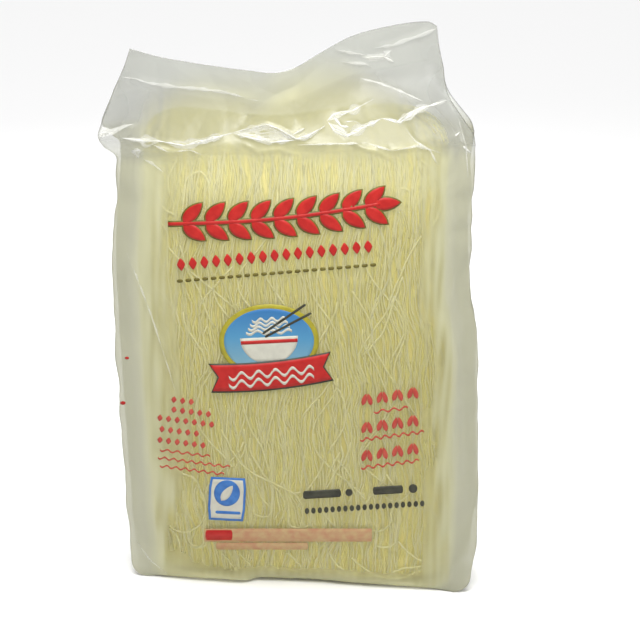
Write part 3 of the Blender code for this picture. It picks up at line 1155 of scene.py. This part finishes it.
def print_sides():
    """Rows of small diamonds and of leaves with wavy lines, and a line of dark bars and dots."""
    tilt = 0.13
    rows = [(lozenge((146 + x, y + tilt * x), 6.2, 7.6, -tilt), 3, 3)
            for y, start, count in ((396, 28, 3), (406, 28, 5), (416, 14, 7), (427, 16, 5),
                                    (438, 14, 6))
            for x in (start + 8.6 * k for k in range(count))]
    for y, start, length in ((448, 14, 50), (456, 12, 72), (464, 14, 64)):
        ends = [(146 + x, y + tilt * x) for x in (start, start + length)]
        rows.append((wave(*ends, 1.2, 1.6, int(length / 9)), length, 1))
    inked("notes_left", 0, "soft_red", rows)
    rows = [(leaf((367 + 15.3 * k + aside, y - 2.2 * k + 0.5), 12.5, 5.2, lean), 6, 2)
            for y in (399, 427, 455) for k in range(4) for aside, lean in ((-2.6, 1.25), (2.6, 1.85))]
    for y, start, length in ((412, 374, 34), (440, 360, 64), (468, 361, 58)):
        ends = (start, y), (start + length, y - tilt * length)
        rows.append((wave(*ends, 1.5, 1.9, int(length / 9)), length, 1))
    inked("notes_right", 0, "soft_red", rows)
    rows = [(bar((322, 494), 38, 8.0, 0.06), 10, 2), (disc((349, 492.5), 3.6, 3.6), 5, 5),
            (bar((388, 490), 30, 8.0, 0.06), 10, 2), (disc((413, 488.5), 4.4, 4.4), 5, 5)]
    rows += [(disc((307 + 6.4 * k, 511 - 0.42 * k), 2.2, 3.0), 4, 4) for k in range(19)]
    inked("weight_marks", 0, "dark", rows)


def print_foot():
    """A small framed card with a leaf, two bands, and two marks on the left fold edge."""
    card = (227, 499)
    round_field = (227, 493)
    inked("card_frame", 0, "blue", [(bar(card, 37, 43, -0.05), 10, 12)])
    inked("card_field", 1, "pale", [(bar(card, 32.5, 38.5, -0.05), 10, 12)])
    inked("card_disc", 2, "blue", [(disc(round_field, 13, 13), 10, 10)])
    inked("card_leaf", 3, "pale", [(leaf(round_field, 19, 8.5, 0.9), 8, 3)])
    inked("card_line", 2, "blue", [(bar((228, 512.5), 25, 3.0, -0.05), 8, 1)])
    inked("foot_band", 0, "pale_red",
          [(bar((288, 535), 168, 13, 0.0), 44, 3), (bar((262, 546), 92, 7, 0.0), 24, 2)])
    inked("foot_band_end", 1, "red", [(bar((219, 535), 27, 10, 0.0), 10, 2)])
    inked("gusset_marks", 0, "red",
          [(bar((123, 403), 5, 4, 0), 2, 2), (bar((127, 358), 4, 3, 0), 2, 2)])


# The seam of the film.

def back_seam():
    """The fin seam that runs up the middle of the back, folded flat to one side."""
    mesh = bmesh.new()
    made = bmesh.ops.create_grid(mesh, x_segments=8, y_segments=120, size=1.0)["verts"]
    for vert in made:
        up = (vert.co.y + 1) / 2
        z = FIN_LOW + FIN_HEIGHT * up
        x = FIN_X + FIN_HALF_WIDTH * vert.co.x + 0.0008 * ripple(2.0, z * 40, 1.0)
        place, _, _, _ = FILM_TREE.ray_cast(Vector((x, 0.2, z)), Vector((0, -1, 0)))
        curl = fade(vert.co.x, -0.2, 1.0) * (0.6 + ripple(5.0, z * 30, 2.0))
        vert.co = place + Vector((0, FIN_LIFT + FIN_CURL * curl, 0))
    bmesh.ops.solidify(mesh, geom=mesh.faces[:], thickness=FIN_THICKNESS)
    bmesh.ops.recalc_face_normals(mesh, faces=mesh.faces)
    veil = mesh.verts.layers.float.new("veil")
    tone = mesh.verts.layers.float_color.new("tone")
    for vert in mesh.verts:
        vert[veil] = 0.20 - 0.15 * fade(vert.co.z, 0.225, 0.245)
        vert[tone] = (*EDGE_TONE, 1.0)
    return finish_piece("back_seam", mesh, film_material())


# The stage.

def make_light(name, kind, power, place, target, **values):
    """A soft light that shines from a place to a target."""
    data = bpy.data.lights.new(name, kind)
    data.energy = power
    for key, value in values.items():
        setattr(data, key, value)
    light = placed(name, data)
    light.location = place
    light.rotation_euler = (Vector(target) - Vector(place)).to_track_quat("-Z", "Y").to_euler()


def make_stage():
    """A pale floor, even light all round, soft light from overhead, and a light before and behind."""
    mesh = bmesh.new()
    bmesh.ops.create_grid(mesh, x_segments=8, y_segments=8, size=6.0)
    bmesh.ops.translate(mesh, verts=mesh.verts, vec=(0, 0, -0.0002))
    data = bpy.data.meshes.new("floor")
    mesh.to_mesh(data)
    mesh.free()
    material, _, _ = new_material("pale_floor", {"Base Color": (0.93, 0.93, 0.93, 1), "Roughness": 0.8})
    data.materials.append(material)
    placed("floor", data)
    world = bpy.data.worlds.new("studio")
    world.use_nodes = True
    with_values(world.node_tree.nodes["Background"], {"Color": (1, 1, 1, 1), "Strength": 0.34})
    bpy.context.scene.world = world
    make_light("overhead", "SUN", 2.1, (0.052, -0.087, 0.995), (0, 0, 0), angle=math.radians(40))
    make_light("key", "AREA", 0.80, (0.02, -0.32, 0.60), (0, 0, 0.27), shape="RECTANGLE",
               size=0.44, size_y=0.22, spread=math.radians(80))
    make_light("back_fill", "AREA", 1.8, (-0.30, 0.75, 0.60), (0, 0, 0.14), shape="RECTANGLE",
               size=0.60, size_y=0.40, spread=math.radians(120))
    bpy.context.scene.view_settings.view_transform = "Standard"
    bpy.context.scene.view_settings.look = "None"


def make_noodles():
    """The core, the strands round it, and the loops and loose strands over them."""
    core = core_mesh()
    core_tree = BVHTree.FromBMesh(core)
    finish_piece("noodle_core", core, core_material())
    top = noodle_material("dried_noodle", *TOP_NOODLES)
    # The under layers' brighter colours are painted light against the shade between the strands.
    under = noodle_material("deep_noodle_brightened", *BRIGHTENED_UNDER_NOODLES)
    stretches = (("front", -FRONT_REACH, FRONT_REACH, 11), ("right", FRONT_REACH, SIDE_REACH, 12),
                 ("back", SIDE_REACH, RING_LENGTH - SIDE_REACH, 13),
                 ("left", -SIDE_REACH, -FRONT_REACH, 14))
    for side, first, last, seed in stretches:
        lines = field_strands(first, last, TOP_LAYER, seed)
        strand_object("noodles_" + side, lines, STRAND_RADIUS, 0, top)
        lines = field_strands(first, last, LOW_LAYERS, seed + 20)
        strand_object("noodles_under_" + side, lines, STRAND_RADIUS, 0, under)
    loose = noodle_material("loose_noodle", *LOOSE_NOODLES)
    seen = [seen_strand(line, core_tree) for line in LOOSE_STRANDS]
    strand_object("noodle_loops_front", loops_and_strays(0.0, 21) + seen, LOOSE_RADIUS, 1, loose)
    strand_object("noodle_loops_back", loops_and_strays(RING_LENGTH / 2, 22), LOOSE_RADIUS, 1, loose)


make_camera()
bag_mesh = film_mesh()
FILM_TREE = BVHTree.FromBMesh(bag_mesh)
film = finish_piece("film", bag_mesh, film_material())
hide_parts("bag")
make_noodles()
make_crease_highlights()
print_top()
print_badge()
print_sides()
print_foot()
back_seam()
make_stage()
